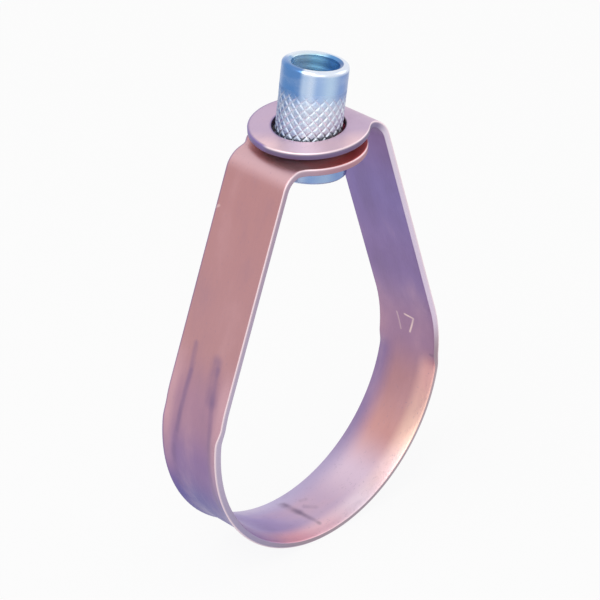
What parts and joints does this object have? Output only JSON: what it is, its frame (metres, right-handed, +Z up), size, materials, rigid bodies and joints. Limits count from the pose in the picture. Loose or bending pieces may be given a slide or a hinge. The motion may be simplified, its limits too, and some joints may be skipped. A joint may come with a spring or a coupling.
{
  "type": "swivel loop hanger",
  "caption": "Teardrop loop hanger for a pipe: a bent strip with flared edges and stacked eyes that turns on a knurled, flanged rod nut.",
  "frame": {"origin": "centre of the pipe that the loop carries, in the middle of the strip's width", "axes": "+Y along the pipe, +Z up towards the hanging rod, +X towards the leg that carries the upper eye"},
  "size_m": [0.0648, 0.0238, 0.1058],
  "materials": {
    "copper_plate": "satin copper plate on steel",
    "zinc_plate": "bright zinc plate on steel"
  },
  "bodies": {
    "nut": {"swivel_nut": "zinc_plate"},
    "loop": {"loop_band": "copper_plate"}
  },
  "joints": [
    {"name": "loop_swivel", "type": "hinge", "parent": "nut", "child": "loop", "pos_m": [0, 0, 0.05975], "axis": [0.1262, 0, 0.992], "continuous": true}
  ]
}
